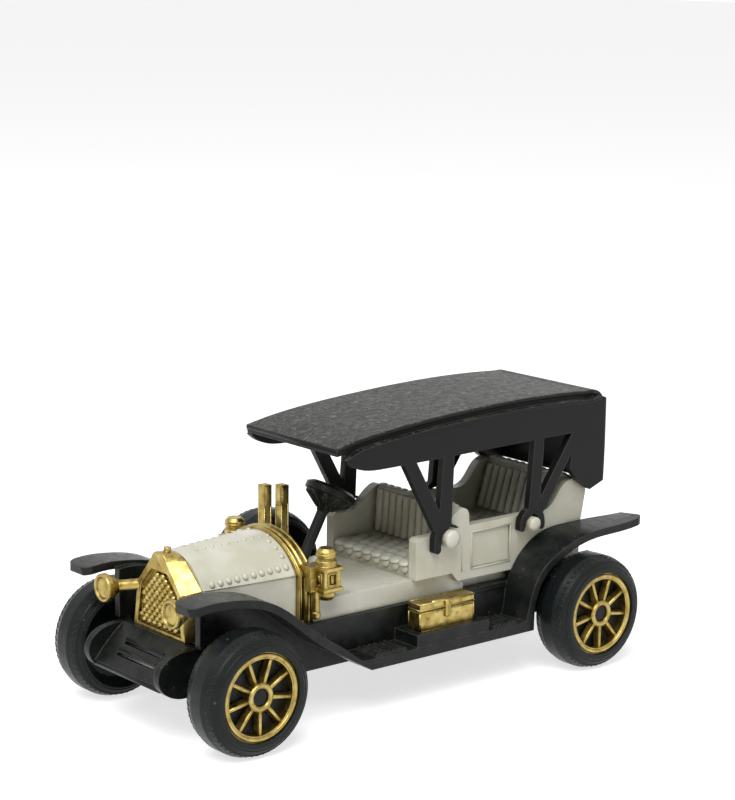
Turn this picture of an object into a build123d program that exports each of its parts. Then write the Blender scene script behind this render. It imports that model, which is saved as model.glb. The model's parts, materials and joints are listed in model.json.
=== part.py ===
from build123d import *
import os

# A small toy touring car of the early motoring years: a pale cast body on a black moulded
# chassis with fenders and running boards, a black canopy clipped over pegs on the body, plated
# trim, and four spoked wheels pressed in pairs on two axles, with a fifth carried at the side.
# Millimetres, +X forward, +Y to the car's left, +Z up. The origin is on the ground, midway
# along the overall length and width.
# Outlines are lists of (X, Z) seen from the side, X from the axle that is named, Z from a level
# set_down below the ground; the finished pieces are all lowered by set_down at the end.

# Overall layout
wheelbase = 56.0
front_overhang = 8.3
rear_overhang = 11.2
overall_width = 34.4
overall_length = front_overhang + wheelbase + rear_overhang
front_axle_x = overall_length / 2 - front_overhang
rear_axle_x = front_axle_x - wheelbase
axle_z = 7.9

# Wheels: a black tyre and disc in one, with a plated spoked insert pushed into its face
tyre_radius = 7.6
tyre_width = 5.9
tread_flat = 1.9
shoulder_radius = 7.15
shoulder_drop = 0.7
sidewall_radius = 6.1
insert_radius = 5.5
insert_depth = 1.25
insert_setback = 0.35
rim_ring_width = 0.85
spoke_count = 9
spoke_foot_width = 0.75
spoke_crest_width = 0.4
hub_ring_radius = 1.75
hub_core_radius = 1.1
hub_core_setback = 0.25
inner_recess_radius = 5.0
inner_recess_depth = 1.6
hub_boss_radius = 2.2
hub_boss_height = 0.8
press_gap = 0.02
wheel_y = overall_width / 2 - tyre_width
set_down = axle_z - tyre_radius

# Axles, held in the chassis bosses
axle_radius = 1.0
axle_bore_clearance = 0.08
axle_end_wall = 2.0
boss_wall = 0.95
hub_end_gap = 0.3

# Chassis base and its side rails
body_half_width = 9.0
skirt_thickness = 1.0
floor_bottom_z = 6.3
floor_thickness = 1.0
rail_to_skirt = 0.8
rail_outer_y = body_half_width - skirt_thickness - rail_to_skirt
rail_thickness = 1.2
rail_top_z = 11.2
rail_front_from_front_axle = 3.0
rail_rear_from_rear_axle = -5.5
axle_window = 3.4

# Front apron, from the front axle: a dished sheet with two slots between two rounded cheeks
apron_to_skirt = 0.1
apron_half_width = body_half_width - skirt_thickness - apron_to_skirt
apron_cheek = 1.0
apron_sheet_top = ((3.2, 12.1), (5.0, 10.6), (6.4, 9.2), (7.5, 7.9))
apron_sheet_under = ((7.0, 7.2), (6.0, 8.2), (4.5, 9.6), (2.4, 10.9))
apron_cheek_top = ((3.2, 12.1), (5.6, 11.9), (7.6, 10.9), (8.3, 9.5))
apron_cheek_under = ((8.3, 9.5), (8.0, 8.1), (6.7, 6.9), (4.6, 6.35))
apron_cheek_back = 2.0
apron_slots = ((5.1, 10.5), (6.2, 9.25))
apron_slot_height = 0.45
apron_slot_length = 7.8

# Fenders, running boards and the deck that joins them under the body
fender_inner_y = body_half_width
fender_width = 4.5
fender_outer_y = fender_inner_y + fender_width
fender_thickness = 1.0
deck_bottom_z = 11.3
deck_top_z = 12.3
deck_front_from_axle = 0.4
board_top_z = 7.9
board_bottom_z = 6.5
front_fender_top = ((7.3, 18.85), (4.6, 19.2), (1.0, 19.0), (-3.5, 18.0), (-8.3, 15.0), (-14.4, 10.6))
front_fender_foot = -18.1
front_fender_foot_under = -19.55
rear_fender_foot = 11.0
rear_fender_inner_top = (
    (10.2, 9.6),
    (9.8, 12.2),
    (8.0, 15.3),
    (4.0, 18.0),
    (-0.6, 18.55),
    (-4.8, 18.55),
    (-11.2, 18.4),
)
rear_fender_outer_top = (
    (9.9, 9.6),
    (9.4, 11.4),
    (8.0, 13.9),
    (4.4, 16.4),
    (-0.8, 18.0),
    (-6.0, 18.3),
    (-11.2, 18.9),
)
fender_corner_radius = 1.4
skirt_top = ((-11.4, 12.3), (-8.0, 14.7), (-3.5, 17.4), (1.0, 18.5), (3.1, 18.4))
skirt_pillar_width = 1.5
skirt_low_z = 10.4
skirt_step = (-10.0, -12.0)
skirt_rear = -18.0
wall_front_from_front_axle = -12.5
wall_rear_from_rear_axle = 8.2
rear_skirt_end = -6.0

# Tray for the toolbox and the ribbed step pads on the left running board, from the rear axle
tray_front = 29.0
tray_rear = 16.9
tray_height = 1.2
tray_lip = 0.1
tray_rim = 0.35
tray_rim_gap = 0.25
step_pads = ((35.6, 30.5), (16.0, 11.4))
step_pad_height = 0.2
step_pad_margin = 0.3
step_rib_pitch = 0.85
step_rib_width = 0.4
toolbox_length = 9.1
toolbox_width = 2.3
toolbox_height = 3.8
toolbox_centre_x = 23.05
toolbox_wall_gap = 0.9
toolbox_centre_y = fender_inner_y + toolbox_wall_gap + toolbox_width / 2
toolbox_lid_height = 1.0
lid_groove = 0.2
lid_groove_depth = 0.15
latch_width = 0.9
latch_height = 1.6
latch_thickness = 0.25

# Body casting
body_wall = 1.4
sill_inset = 0.7
sill_half_width = body_half_width - sill_inset
sill_bottom_z = deck_top_z
sill_rear_from_rear_axle = 16.9
tub_base_inset = 1.4
cabin_floor_z = 15.0
tub_bottom_z = 13.7
crease_z = 18.3
bonnet_front_half_width = 5.9
bonnet_inset = 0.9
bonnet_rear_half_width = sill_half_width - bonnet_inset
bonnet_front_top_z = 22.0
bonnet_rear_top_z = 22.6
bonnet_front_from_axle = 0.5
bonnet_rear_from_axle = -12.4
dash_depth = 1.3
peg_length = 1.7
# Centre (X, Z) from the rear axle and radius of the pegs that the canopy clips over
pegs = ((20.9, 20.0, 1.2), (6.5, 19.75, 0.95))
door_front = 16.2
door_rear = 9.4
door_bottom_z = 15.0
door_top_z = 19.9
door_recess = 0.2
# The side walls' outline, from the front of the driver's armrest over to the tail
arm_front = ((25.7, 14.9), (25.7, 19.9))
arm_corner = ((25.7, 19.9), (25.5, 20.25), (25.1, 20.4))
arm_top_rear = (23.0, 20.4)
front_side_rise = ((23.0, 20.4), (20.8, 21.35), (18.2, 23.25))
front_side_back = ((18.2, 23.25), (17.2, 23.1), (16.7, 22.2))
door_sill_line = ((16.7, 22.2), (16.6, 20.85), (3.8, 20.85))
rear_side_rise = ((3.8, 20.85), (1.2, 22.3), (-1.6, 24.4))
tail_outline = ((-1.6, 24.4), (-2.9, 24.4), (-4.3, 22.6), (-3.5, 18.6), (-3.3, tub_bottom_z))
side_under = (tail_outline[-1], (18.5, tub_bottom_z), (19.5, 14.9), arm_front[0])

# Seats, from the rear axle: the flutes of each back run from (X, Z) to (X, Z)
flute_pitch = 1.35
flute_radius = 0.6
flute_count = 11
seat_backs = (((18.55, 17.3), (18.2, 22.9)), ((0.15, 17.8), (-1.7, 23.6)))
# Both seats and the floor between them, seen from the side
seat_outline = (
    (25.4, tub_bottom_z),
    (25.4, 16.6),
    (24.9, 17.1),
    (19.4, 16.7),
    (18.6, 17.2),
    (18.2, 23.0),
    (17.6, 23.3),
    (16.9, 23.0),
    (16.6, cabin_floor_z),
    (6.4, cabin_floor_z),
    (6.4, 17.0),
    (5.9, 17.5),
    (1.0, 17.1),
    (0.2, 17.6),
    (-1.8, 24.0),
    (-2.3, 24.5),
    (-3.0, 24.3),
    (-4.3, 22.6),
    (-3.5, 18.6),
    (-3.3, tub_bottom_z),
)

# Radiator with its studded grille, and the two headlamps on their brackets
radiator_front_from_axle = 2.75
radiator_bottom_z = 12.1
radiator_foot_half_width = 5.34
radiator_shoulder_half_width = 4.5
radiator_shoulder_z = 17.7
radiator_neck_half_width = 1.5
radiator_neck_z = 21.3
radiator_top_z = 22.3
radiator_back_neck = 2.6
radiator_cap_radius = 0.45
radiator_cap_height = 0.5
radiator_cap_setback = 1.3
grille_border = 0.75
grille_foot_border = 0.45
grille_recess = 0.5
grille_shoulder = (3.75, 17.6)
grille_top = (1.7, 19.8)
stud_pitch = 1.1
stud_radius = 0.5
stud_height = 0.4
headlamp_y = 7.2
headlamp_z = 16.7
headlamp_radius = 1.75
headlamp_front_from_axle = 6.05
headlamp_length = 2.3
headlamp_back_radius = 0.75
headlamp_waist = (1.2, 1.45)
headlamp_rim_width = 0.4
headlamp_rim_depth = 0.3
headlamp_rim_length = 0.6
headlamp_arm_radius = 0.72

# Scuttle hoop, and the side lanterns on their brackets
hoop_rear_from_axle = -14.6
hoop_inset = 0.35
hoop_outer_half_width = sill_half_width - hoop_inset
hoop_width = 1.1
hoop_top_z = 22.85
hoop_groove_width = 0.7
hoop_groove_depth = 0.3
hoop_groove_setback = 0.35
hoop_groove_foot = 0.4
lantern_from_axle = -15.5
lantern_half_width = 1.25
lantern_y = hoop_outer_half_width + lantern_half_width + 0.2
lantern_bottom_z = 17.0
lantern_top_z = 19.1
lantern_flange = 0.25
lantern_flange_height = 0.45
lantern_window = 1.3
lantern_window_sill = 0.3
lantern_window_depth = 0.2
# Bowl and cap: radius, then height above the lantern's foot or its cap
lantern_bowl = ((0, -1.65), (0.8, -1.65), (1.2, -1.1), (1.1, -0.4), (0, -0.4))
lantern_cap = ((1.3, -0.1), (1.3, 0.75), (1.0, 0.95), (1.25, 1.2), (1.25, 1.9), (0.9, 2.3), (0, 2.3))
bracket_bottom_z = 18.2
bracket_height = 1.5
bracket_front_from_axle = -13.0
lamp_peg_from_axle = -14.2
lamp_peg_y = hoop_outer_half_width + 1.1
lamp_peg_foot_z = 13.0
lamp_peg_radius = 0.45
lamp_peg_bead = 0.12
lamp_peg_bead_height = 0.7

# Canopy, from the rear axle
strut_thickness = 1.0
strut_gap = 0.1
strut_inner_y = body_half_width + strut_gap
canopy_half_width = strut_inner_y + strut_thickness
canopy_sheet = 1.0
canopy_top = ((38.9, 33.8), (35.6, 34.45), (28.9, 35.3), (20.4, 35.95), (1.0, 36.35), (-4.2, 36.1))
canopy_rear_corner = ((-4.2, 36.1), (-6.3, 35.7), (-7.1, 34.7))
canopy_under = ((0.6, 35.1), (20.4, 34.7), (28.9, 34.2), (38.7, 32.8))
canopy_tail = (-6.5, 23.8)
canopy_corner_radius = 0.8
valance_drop = 1.1
valance_rear = (
    (-4.0, 22.85),
    (-1.7, 24.4),
    (-0.15, 26.1),
    (-0.7, 31.0),
    (20.4, 30.7),
    (31.5, 30.6),
)
valance_front = ((31.5, 30.6), (34.0, 30.65), (35.9, 31.0), (37.2, 31.6), (38.1, 32.4))
strut_top_z = 31.5
strut_outlines = (
    ((29.2, strut_top_z), (27.2, strut_top_z), (21.6, 21.8), (23.45, 21.2)),
    ((22.1, strut_top_z), (20.4, strut_top_z), (20.75, 21.0), (23.0, 21.0)),
    ((6.3, strut_top_z), (4.7, strut_top_z), (5.2, 21.0), (7.2, 21.2)),
    ((-0.8, strut_top_z), (-2.6, strut_top_z), (4.7, 20.9), (6.4, 21.2)),
)
# For each peg, the hook's inner radius, then the width of its front and rear prongs and how far
# the end of each stands above the peg's centre
hooks = ((1.5, 1.1, -1.2, 0.35, 1.2), (1.25, 0.85, -0.45, 1.0, -0.5))

# Steering, and the levers and spare wheel on the right
steering_foot = -21.2
steering_centre = (-26.5, 24.6)
steering_y = -3.6
column_radius = 0.72
steering_wheel_radius = 3.4
steering_rim = 0.75
steering_rim_width = 0.6
steering_hub_radius = 1.2
steering_nut_radius = 0.8
steering_nut_height = 0.7
lever_gap = 0.1
lever_depth = 1.3
lever_width = 1.2
lever_foot_width = 1.05
lever_shoulder_z = 22.4
lever_foot_height = 1.2
lever_y = -(body_half_width + lever_gap + lever_depth / 2)
# X from the front axle and top Z
levers = ((-20.6, 25.35), (-23.4, 24.95))
spare_centre_from_front_axle = -24.0
spare_centre_z = 13.15
spare_inner_y = -(body_half_width + 2 * lever_gap + lever_depth + hub_boss_height)
spare_well_clearance = 0.2


def extrude_across(face, y_low, y_high):
    """Extrude a side view, drawn as (X, Z), from one Y to another."""
    return extrude(Plane.XZ.offset(-y_high) * face, amount=y_high - y_low)


def across_plane(x):
    """A plane facing forward at a given X, with Y across and Z up."""
    return Plane(origin=(x, 0, 0), x_dir=(0, 1, 0), z_dir=(1, 0, 0))


def face_from(*edges):
    """Fill a closed loop of edges."""
    return make_face(Curve() + list(edges))


def outline(points):
    """A closed straight-sided face through its points."""
    return make_face(Polyline(*points, close=True))


def mirrored_pair(shape):
    """A shape and its mirror image on the car's other side."""
    return shape + mirror(shape, about=Plane.XZ)


def block(x_low, x_high, y_low, y_high, z_low, z_high):
    """A plain block between two corners."""
    size = (x_high - x_low, y_high - y_low, z_high - z_low)
    centre = ((x_high + x_low) / 2, (y_high + y_low) / 2, (z_high + z_low) / 2)
    return Pos(*centre) * Box(*size)


def moved_left(points, gap):
    """The points moved by a gap, square to the line through their neighbours, to its left."""
    moved = []
    last = len(points) - 1
    for number, point in enumerate(points):
        before = Vector(*points[max(number - 1, 0)])
        after = Vector(*points[min(number + 1, last)])
        along = (after - before).normalized()
        moved.append((point[0] - along.Y * gap, point[1] + along.X * gap))
    return moved


# Wheels are drawn about the Y axis, with the inner face at y = 0 and the outer one at y = tyre_width


def axle_blind_y():
    """Where the axle's blind bore in the wheel ends, from the wheel's inner face."""
    return tyre_width - axle_end_wall


def tyre():
    """The tyre with its disc, its inner recess and the boss that the axle is pressed into."""
    middle = tyre_width / 2
    tread = tread_flat / 2
    seat_radius = insert_radius + press_gap
    seat_y = tyre_width - insert_setback - insert_depth
    core_y = tyre_width - insert_setback - hub_core_setback
    bore_radius = axle_radius + press_gap
    section = outline(
        (
            (0, axle_blind_y()),
            (0, core_y),
            (hub_core_radius, core_y),
            (hub_core_radius, seat_y),
            (seat_radius, seat_y),
            (seat_radius, tyre_width),
            (sidewall_radius, tyre_width),
            (shoulder_radius, tyre_width - shoulder_drop),
            (tyre_radius, middle + tread),
            (tyre_radius, middle - tread),
            (shoulder_radius, shoulder_drop),
            (sidewall_radius, 0),
            (inner_recess_radius, inner_recess_depth),
            (hub_boss_radius, inner_recess_depth),
            (hub_boss_radius, -hub_boss_height),
            (bore_radius, -hub_boss_height),
            (bore_radius, axle_blind_y()),
        )
    )
    return revolve(section, axis=Axis.Y)


def spoked_insert():
    """The plated rim ring, hub ring and spokes, one spoke pointing straight down."""
    back_y = tyre_width - insert_setback - insert_depth
    face_y = back_y + insert_depth
    ring_inner = insert_radius - rim_ring_width
    rings = []
    for inner, outer in ((ring_inner, insert_radius), (hub_core_radius + press_gap, hub_ring_radius)):
        ring = outline(((inner, back_y), (outer, back_y), (outer, face_y), (inner, face_y)))
        rings.append(revolve(ring, axis=Axis.Y))
    foot = spoke_foot_width / 2
    crest = spoke_crest_width / 2
    rise = insert_depth / 5
    section = outline(
        ((-foot, back_y + rise), (foot, back_y + rise), (crest, face_y - rise), (-crest, face_y - rise))
    )
    overlap = rim_ring_width / 3
    spoke_start = hub_ring_radius - overlap
    spoke_length = ring_inner + overlap - spoke_start
    spoke = Pos(0, 0, spoke_start) * extrude(section, amount=spoke_length)
    turns = [180 + number * 360 / spoke_count for number in range(spoke_count)]
    return rings[0] + rings[1] + [Rot(0, angle, 0) * spoke for angle in turns]


def place_wheel(shape, x, side):
    """Put a wheel piece on an axle, on the left with side 1 or the right with side -1."""
    if side < 0:
        shape = mirror(shape, about=Plane.XZ)
    return Pos(x, side * wheel_y, axle_z) * shape


def place_spare(shape):
    """Put a wheel piece at the right-hand running board, its face outward."""
    centre_x = front_axle_x + spare_centre_from_front_axle
    return Pos(centre_x, spare_inner_y, spare_centre_z) * mirror(shape, about=Plane.XZ)


def axle():
    """A plain steel pin from one wheel's blind bore to the other's."""
    half_length = wheel_y + axle_blind_y() - press_gap
    return Rot(90, 0, 0) * Cylinder(axle_radius, 2 * half_length)


def apron():
    """The dished and slotted sheet ahead of the radiator, between its two cheeks."""
    sheet_face = face_from(
        Spline(*apron_sheet_top),
        Line(apron_sheet_top[-1], apron_sheet_under[0]),
        Spline(*apron_sheet_under),
        Line(apron_sheet_under[-1], (apron_sheet_under[-1][0], apron_sheet_top[0][1])),
        Line((apron_sheet_under[-1][0], apron_sheet_top[0][1]), apron_sheet_top[0]),
    )
    inner = apron_half_width - apron_cheek
    sheet = extrude_across(sheet_face, -inner, inner)
    for x, z in apron_slots:
        sheet -= Pos(x, 0, z) * Rot(0, 45, 0) * Box(apron_slot_height, apron_slot_length, 4 * apron_cheek)
    top_start = apron_cheek_top[0]
    under_end = apron_cheek_under[-1]
    cheek_face = face_from(
        Line((apron_cheek_back, top_start[1]), top_start),
        Spline(*apron_cheek_top),
        Spline(*apron_cheek_under),
        Line(under_end, (apron_cheek_back, floor_bottom_z)),
        Line((apron_cheek_back, floor_bottom_z), (apron_cheek_back, top_start[1])),
    )
    cheek = extrude_across(cheek_face, inner, apron_half_width)
    return Pos(front_axle_x, 0, 0) * (sheet + mirrored_pair(cheek))


def chassis():
    """The base: floor, rails with axle bosses, and the apron at the front."""
    front = front_axle_x + rail_front_from_front_axle
    rear = rear_axle_x + rail_rear_from_rear_axle
    floor_top_z = floor_bottom_z + floor_thickness
    boss_inner = rail_outer_y - rail_thickness
    base = block(rear, front, -rail_outer_y, rail_outer_y, floor_bottom_z, floor_top_z)
    base += mirrored_pair(block(rear, front, boss_inner, rail_outer_y, floor_bottom_z, rail_top_z))
    boss_length = wheel_y - hub_boss_height - hub_end_gap - boss_inner
    bore = axle_radius + axle_bore_clearance
    half_window = axle_window / 2
    for x in (front_axle_x, rear_axle_x):
        base -= block(x - half_window, x + half_window, -boss_inner, boss_inner, 0, floor_top_z)
        boss = Pos(x, boss_inner + boss_length / 2, axle_z) * Rot(90, 0, 0) * Cylinder(
            bore + boss_wall, boss_length
        )
        base += mirrored_pair(boss)
        base -= Pos(x, 0, axle_z) * Rot(90, 0, 0) * Cylinder(bore, overall_width)
    return base + apron()


def corner_waste(x, y, z, toward_x, toward_y, radius, height):
    """What rounding an upright corner takes away; toward_x and toward_y point off the part."""
    centre_x = x - toward_x * radius
    centre_y = y - toward_y * radius
    square = Pos(x, y, z) * Box(2 * radius, 2 * radius, height)
    return square - Pos(centre_x, centre_y, z) * Cylinder(radius, 2 * height)


def front_fender():
    """The left front fender down to the running board."""
    top = front_fender_top
    under = moved_left(top, fender_thickness)
    foot = front_fender_foot
    foot_under = front_fender_foot_under
    face = face_from(
        Spline(*top),
        Polyline(top[-1], (foot, board_top_z), (foot_under, board_top_z)),
        Polyline((foot_under, board_top_z), (foot_under, board_bottom_z), under[-1]),
        Spline(*under[::-1]),
        Line(under[0], top[0]),
    )
    shape = Pos(front_axle_x, 0, 0) * extrude_across(face, fender_inner_y, fender_outer_y)
    tip_x = front_axle_x + top[0][0]
    radius = fender_corner_radius
    for y, toward_y in ((fender_inner_y, -1), (fender_outer_y, 1)):
        shape -= corner_waste(tip_x, y, top[0][1], 1, toward_y, radius, 4 * radius)
    return shape


def rear_fender_face(top, y):
    """The rear fender's section at one Y, from its tail down to the running board."""
    under = moved_left(top, fender_thickness)
    foot = rear_fender_foot
    face = face_from(
        Line((foot, board_bottom_z), top[0]),
        Spline(*top),
        Line(top[-1], under[-1]),
        Spline(*under[::-1]),
        Line(under[0], (foot - 2, board_bottom_z)),
        Line((foot - 2, board_bottom_z), (foot, board_bottom_z)),
    )
    return Plane.XZ.offset(-y) * face


def rear_fender():
    """The left rear fender, twisting from its inner line to its outer one."""
    inner = rear_fender_face(rear_fender_inner_top, fender_inner_y)
    outer = rear_fender_face(rear_fender_outer_top, fender_outer_y)
    shape = Pos(rear_axle_x, 0, 0) * loft([inner, outer], ruled=True)
    tail_x, tail_z = rear_fender_outer_top[-1]
    radius = fender_corner_radius
    return shape - corner_waste(rear_axle_x + tail_x, fender_outer_y, tail_z, -1, 1, radius, 4 * radius)


def front_skirt():
    """The upright panel inside the left front fender, with the pillar at its front."""
    skirt_inner = fender_inner_y - skirt_thickness
    top_rear = skirt_top[0]
    top_front = skirt_top[-1]
    pillar_x = top_front[0] - skirt_pillar_width
    face = face_from(
        Spline(*skirt_top),
        Polyline(top_front, (top_front[0], deck_top_z), (pillar_x, deck_top_z), (pillar_x, skirt_low_z)),
        Polyline((pillar_x, skirt_low_z), (skirt_step[0], skirt_low_z), (skirt_step[1], board_bottom_z)),
        Polyline((skirt_step[1], board_bottom_z), (skirt_rear, board_bottom_z), (skirt_rear, deck_top_z)),
        Line((skirt_rear, deck_top_z), top_rear),
    )
    return Pos(front_axle_x, 0, 0) * extrude_across(face, skirt_inner, fender_inner_y)


def board_and_walls():
    """The left running board and the walls that carry it, down from the deck."""
    skirt_inner = fender_inner_y - skirt_thickness
    board_front = front_axle_x + front_fender_foot_under
    board_rear = rear_axle_x + rear_fender_foot - 1
    shape = block(board_rear, board_front, skirt_inner, fender_outer_y, board_bottom_z, board_top_z)
    wall_front = front_axle_x + wall_front_from_front_axle
    wall_rear = rear_axle_x + wall_rear_from_rear_axle
    shape += block(wall_rear, wall_front, skirt_inner, fender_inner_y, board_bottom_z, deck_top_z)
    skirt_end = rear_axle_x + rear_skirt_end
    return shape + block(skirt_end, wall_rear + 1, skirt_inner, fender_inner_y, skirt_low_z, tub_bottom_z)


def step_pad(front, rear):
    """A shallow ribbed pad on the left running board."""
    inner = fender_inner_y + step_pad_margin
    outer = fender_outer_y - step_pad_margin
    half_rib = step_rib_width / 2
    base_top = board_top_z + step_pad_height
    pad = block(rear, front, inner, outer, board_top_z - 0.1, base_top)
    ribs = []
    count = int((front - rear) / step_rib_pitch)
    for number in range(count):
        x = front - (number + 0.5) * step_rib_pitch
        ribs.append(
            block(x - half_rib, x + half_rib, inner, outer, board_top_z, base_top + step_pad_height)
        )
    return Pos(rear_axle_x, 0, 0) * (pad + ribs)


def wings():
    """Both fenders and running boards, their skirts, the deck between and the tray."""
    side = front_fender() + front_skirt() + board_and_walls() + rear_fender()
    moulding = mirrored_pair(side)
    deck_half = fender_inner_y - skirt_thickness + 0.1
    deck_front = front_axle_x + deck_front_from_axle
    moulding += block(
        rear_axle_x + rear_skirt_end, deck_front, -deck_half, deck_half, deck_bottom_z, deck_top_z
    )
    well_depth = tyre_width + 2 * spare_well_clearance
    well_y = spare_inner_y + spare_well_clearance - well_depth / 2
    moulding -= Pos(front_axle_x + spare_centre_from_front_axle, well_y, spare_centre_z) * Rot(
        90, 0, 0
    ) * Cylinder(tyre_radius + spare_well_clearance, well_depth)
    tray_top_z = board_top_z + tray_height
    moulding += block(
        rear_axle_x + tray_rear,
        rear_axle_x + tray_front,
        fender_inner_y - 0.1,
        fender_outer_y - tray_lip,
        board_top_z - 0.1,
        tray_top_z + tray_rim,
    )
    moulding -= Pos(rear_axle_x + toolbox_centre_x, toolbox_centre_y, tray_top_z + tray_rim) * Box(
        toolbox_length + 2 * tray_rim_gap, toolbox_width + 2 * tray_rim_gap, 2 * tray_rim
    )
    for front, rear in step_pads:
        moulding += step_pad(front, rear)
    return moulding


def arch_section(half_width, crease, top, bottom):
    """A bonnet section seen from the front: upright sides and an arched top."""
    return face_from(
        Line((-half_width, bottom), (half_width, bottom)),
        Line((half_width, bottom), (half_width, crease)),
        ThreePointArc((half_width, crease), (0, top), (-half_width, crease)),
        Line((-half_width, crease), (-half_width, bottom)),
    )


def bonnet():
    """The tapered bonnet and the dash behind it."""
    front_x = front_axle_x + bonnet_front_from_axle
    rear_x = front_axle_x + bonnet_rear_from_axle
    front = across_plane(front_x) * arch_section(
        bonnet_front_half_width, crease_z, bonnet_front_top_z, sill_bottom_z
    )
    rear = across_plane(rear_x) * arch_section(
        bonnet_rear_half_width, crease_z, bonnet_rear_top_z, sill_bottom_z
    )
    inset = hoop_width + press_gap
    dash = across_plane(rear_x - dash_depth) * arch_section(
        hoop_outer_half_width - inset, crease_z - inset, hoop_top_z - inset, sill_bottom_z
    )
    return loft([rear, front]) + extrude(dash, amount=dash_depth)


def tub():
    """The seats and rear compartment, about the rear axle."""
    side = face_from(
        Line(*arm_front),
        ThreePointArc(*arm_corner),
        Line(arm_corner[-1], arm_top_rear),
        Spline(*front_side_rise, tangents=((-1, 0), (-1, 0.4))),
        ThreePointArc(*front_side_back),
        Polyline(*door_sill_line),
        Spline(*rear_side_rise, tangents=((-1, 0), (-1, 0.1))),
        Polyline(*tail_outline),
        Polyline(*side_under),
    )
    inner = body_half_width - body_wall
    wall = extrude_across(side, inner, body_half_width)
    base_half_width = body_half_width - tub_base_inset
    base = block(
        tail_outline[-1][0],
        sill_rear_from_rear_axle + 1,
        -base_half_width,
        base_half_width,
        sill_bottom_z,
        tub_bottom_z + 0.1,
    )
    door_y = body_half_width - door_recess
    wall -= block(door_rear, door_front, door_y, body_half_width + 1, door_bottom_z, door_top_z)
    shape = mirrored_pair(wall) + extrude_across(outline(seat_outline), -inner - 0.1, inner + 0.1) + base
    flutes = []
    for low, high in seat_backs:
        foot = Vector(low[0], 0, low[1])
        rise = Vector(high[0], 0, high[1]) - foot
        section = RegularPolygon(flute_radius, 10)
        flute = Plane(origin=foot, z_dir=rise) * extrude(section, amount=rise.length)
        for number in range(flute_count):
            flutes.append(Pos(0, (number - (flute_count - 1) / 2) * flute_pitch, 0) * flute)
    shape += flutes
    peg_y = body_half_width + (peg_length - body_wall) / 2
    for peg_x, peg_z, peg_radius in pegs:
        peg = Rot(90, 0, 0) * Cylinder(peg_radius, peg_length + body_wall)
        shape += mirrored_pair(Pos(peg_x, peg_y, peg_z) * peg)
    return Pos(rear_axle_x, 0, 0) * shape


def body():
    """The whole pale casting: bonnet, dash, floor, seats and rear compartment."""
    hoop_rear_x = front_axle_x + hoop_rear_from_axle
    dash_rear_x = front_axle_x + bonnet_rear_from_axle - dash_depth
    floor_rear_x = rear_axle_x + sill_rear_from_rear_axle
    floor = block(
        floor_rear_x, hoop_rear_x, -sill_half_width, sill_half_width, sill_bottom_z, cabin_floor_z
    )
    tongue = hoop_outer_half_width - hoop_width - press_gap
    floor += block(hoop_rear_x - 1, dash_rear_x, -tongue, tongue, sill_bottom_z, cabin_floor_z)
    return bonnet() + floor + tub()


def shell_section(foot, shoulder, shoulder_z, neck, neck_z, top_z):
    """A radiator section: sides that narrow upward, then straight slopes to a rounded peak."""
    return face_from(
        Line((-foot, radiator_bottom_z), (foot, radiator_bottom_z)),
        Line((foot, radiator_bottom_z), (shoulder, shoulder_z)),
        Line((shoulder, shoulder_z), (neck, neck_z)),
        ThreePointArc((neck, neck_z), (0, top_z), (-neck, neck_z)),
        Line((-neck, neck_z), (-shoulder, shoulder_z)),
        Line((-shoulder, shoulder_z), (-foot, radiator_bottom_z)),
    )


def grille_half_width(z):
    """Half the width of the grille's pocket at a height, where it has one."""
    foot = (radiator_foot_half_width - grille_border, radiator_bottom_z + grille_foot_border)
    for low, high in ((foot, grille_shoulder), (grille_shoulder, grille_top)):
        if low[1] <= z <= high[1]:
            share = (z - low[1]) / (high[1] - low[1])
            return low[0] + share * (high[0] - low[0])
    return 0


def grille_studs():
    """Pointed studs over the pocket's floor, in rows that stand half a pitch apart."""
    floor_x = front_axle_x + radiator_front_from_axle - grille_recess
    stud = across_plane(floor_x - 0.05) * extrude(
        RegularPolygon(stud_radius, 4), amount=stud_height + 0.05, taper=35
    )
    studs = []
    row_z = radiator_bottom_z + grille_foot_border + stud_radius + 0.1
    row = 0
    while grille_half_width(row_z + stud_radius) > 0:
        reach = grille_half_width(row_z + stud_radius) - stud_radius - 0.1
        shift = (row % 2) * stud_pitch / 2
        steps = int((reach - shift) // stud_pitch) if reach > shift else -1
        for number in range(steps + 1):
            y = shift + number * stud_pitch
            for side in {y, -y}:
                studs.append(Pos(0, side, row_z) * stud)
        row += 1
        row_z += stud_pitch / 2
    return studs


def headlamp():
    """A headlamp drum with its raised rim, on the left."""
    front = headlamp_front_from_axle
    back = front - headlamp_length
    section = outline(
        (
            (back, 0),
            (back, headlamp_back_radius),
            (back + headlamp_waist[0], headlamp_waist[1]),
            (front - headlamp_rim_length, headlamp_radius),
            (front, headlamp_radius),
            (front, headlamp_radius - headlamp_rim_width),
            (front - headlamp_rim_depth, headlamp_radius - headlamp_rim_width - 0.1),
            (front - 0.1, 0),
        )
    )
    return Pos(front_axle_x, headlamp_y, headlamp_z) * revolve(section, axis=Axis.X)


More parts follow.
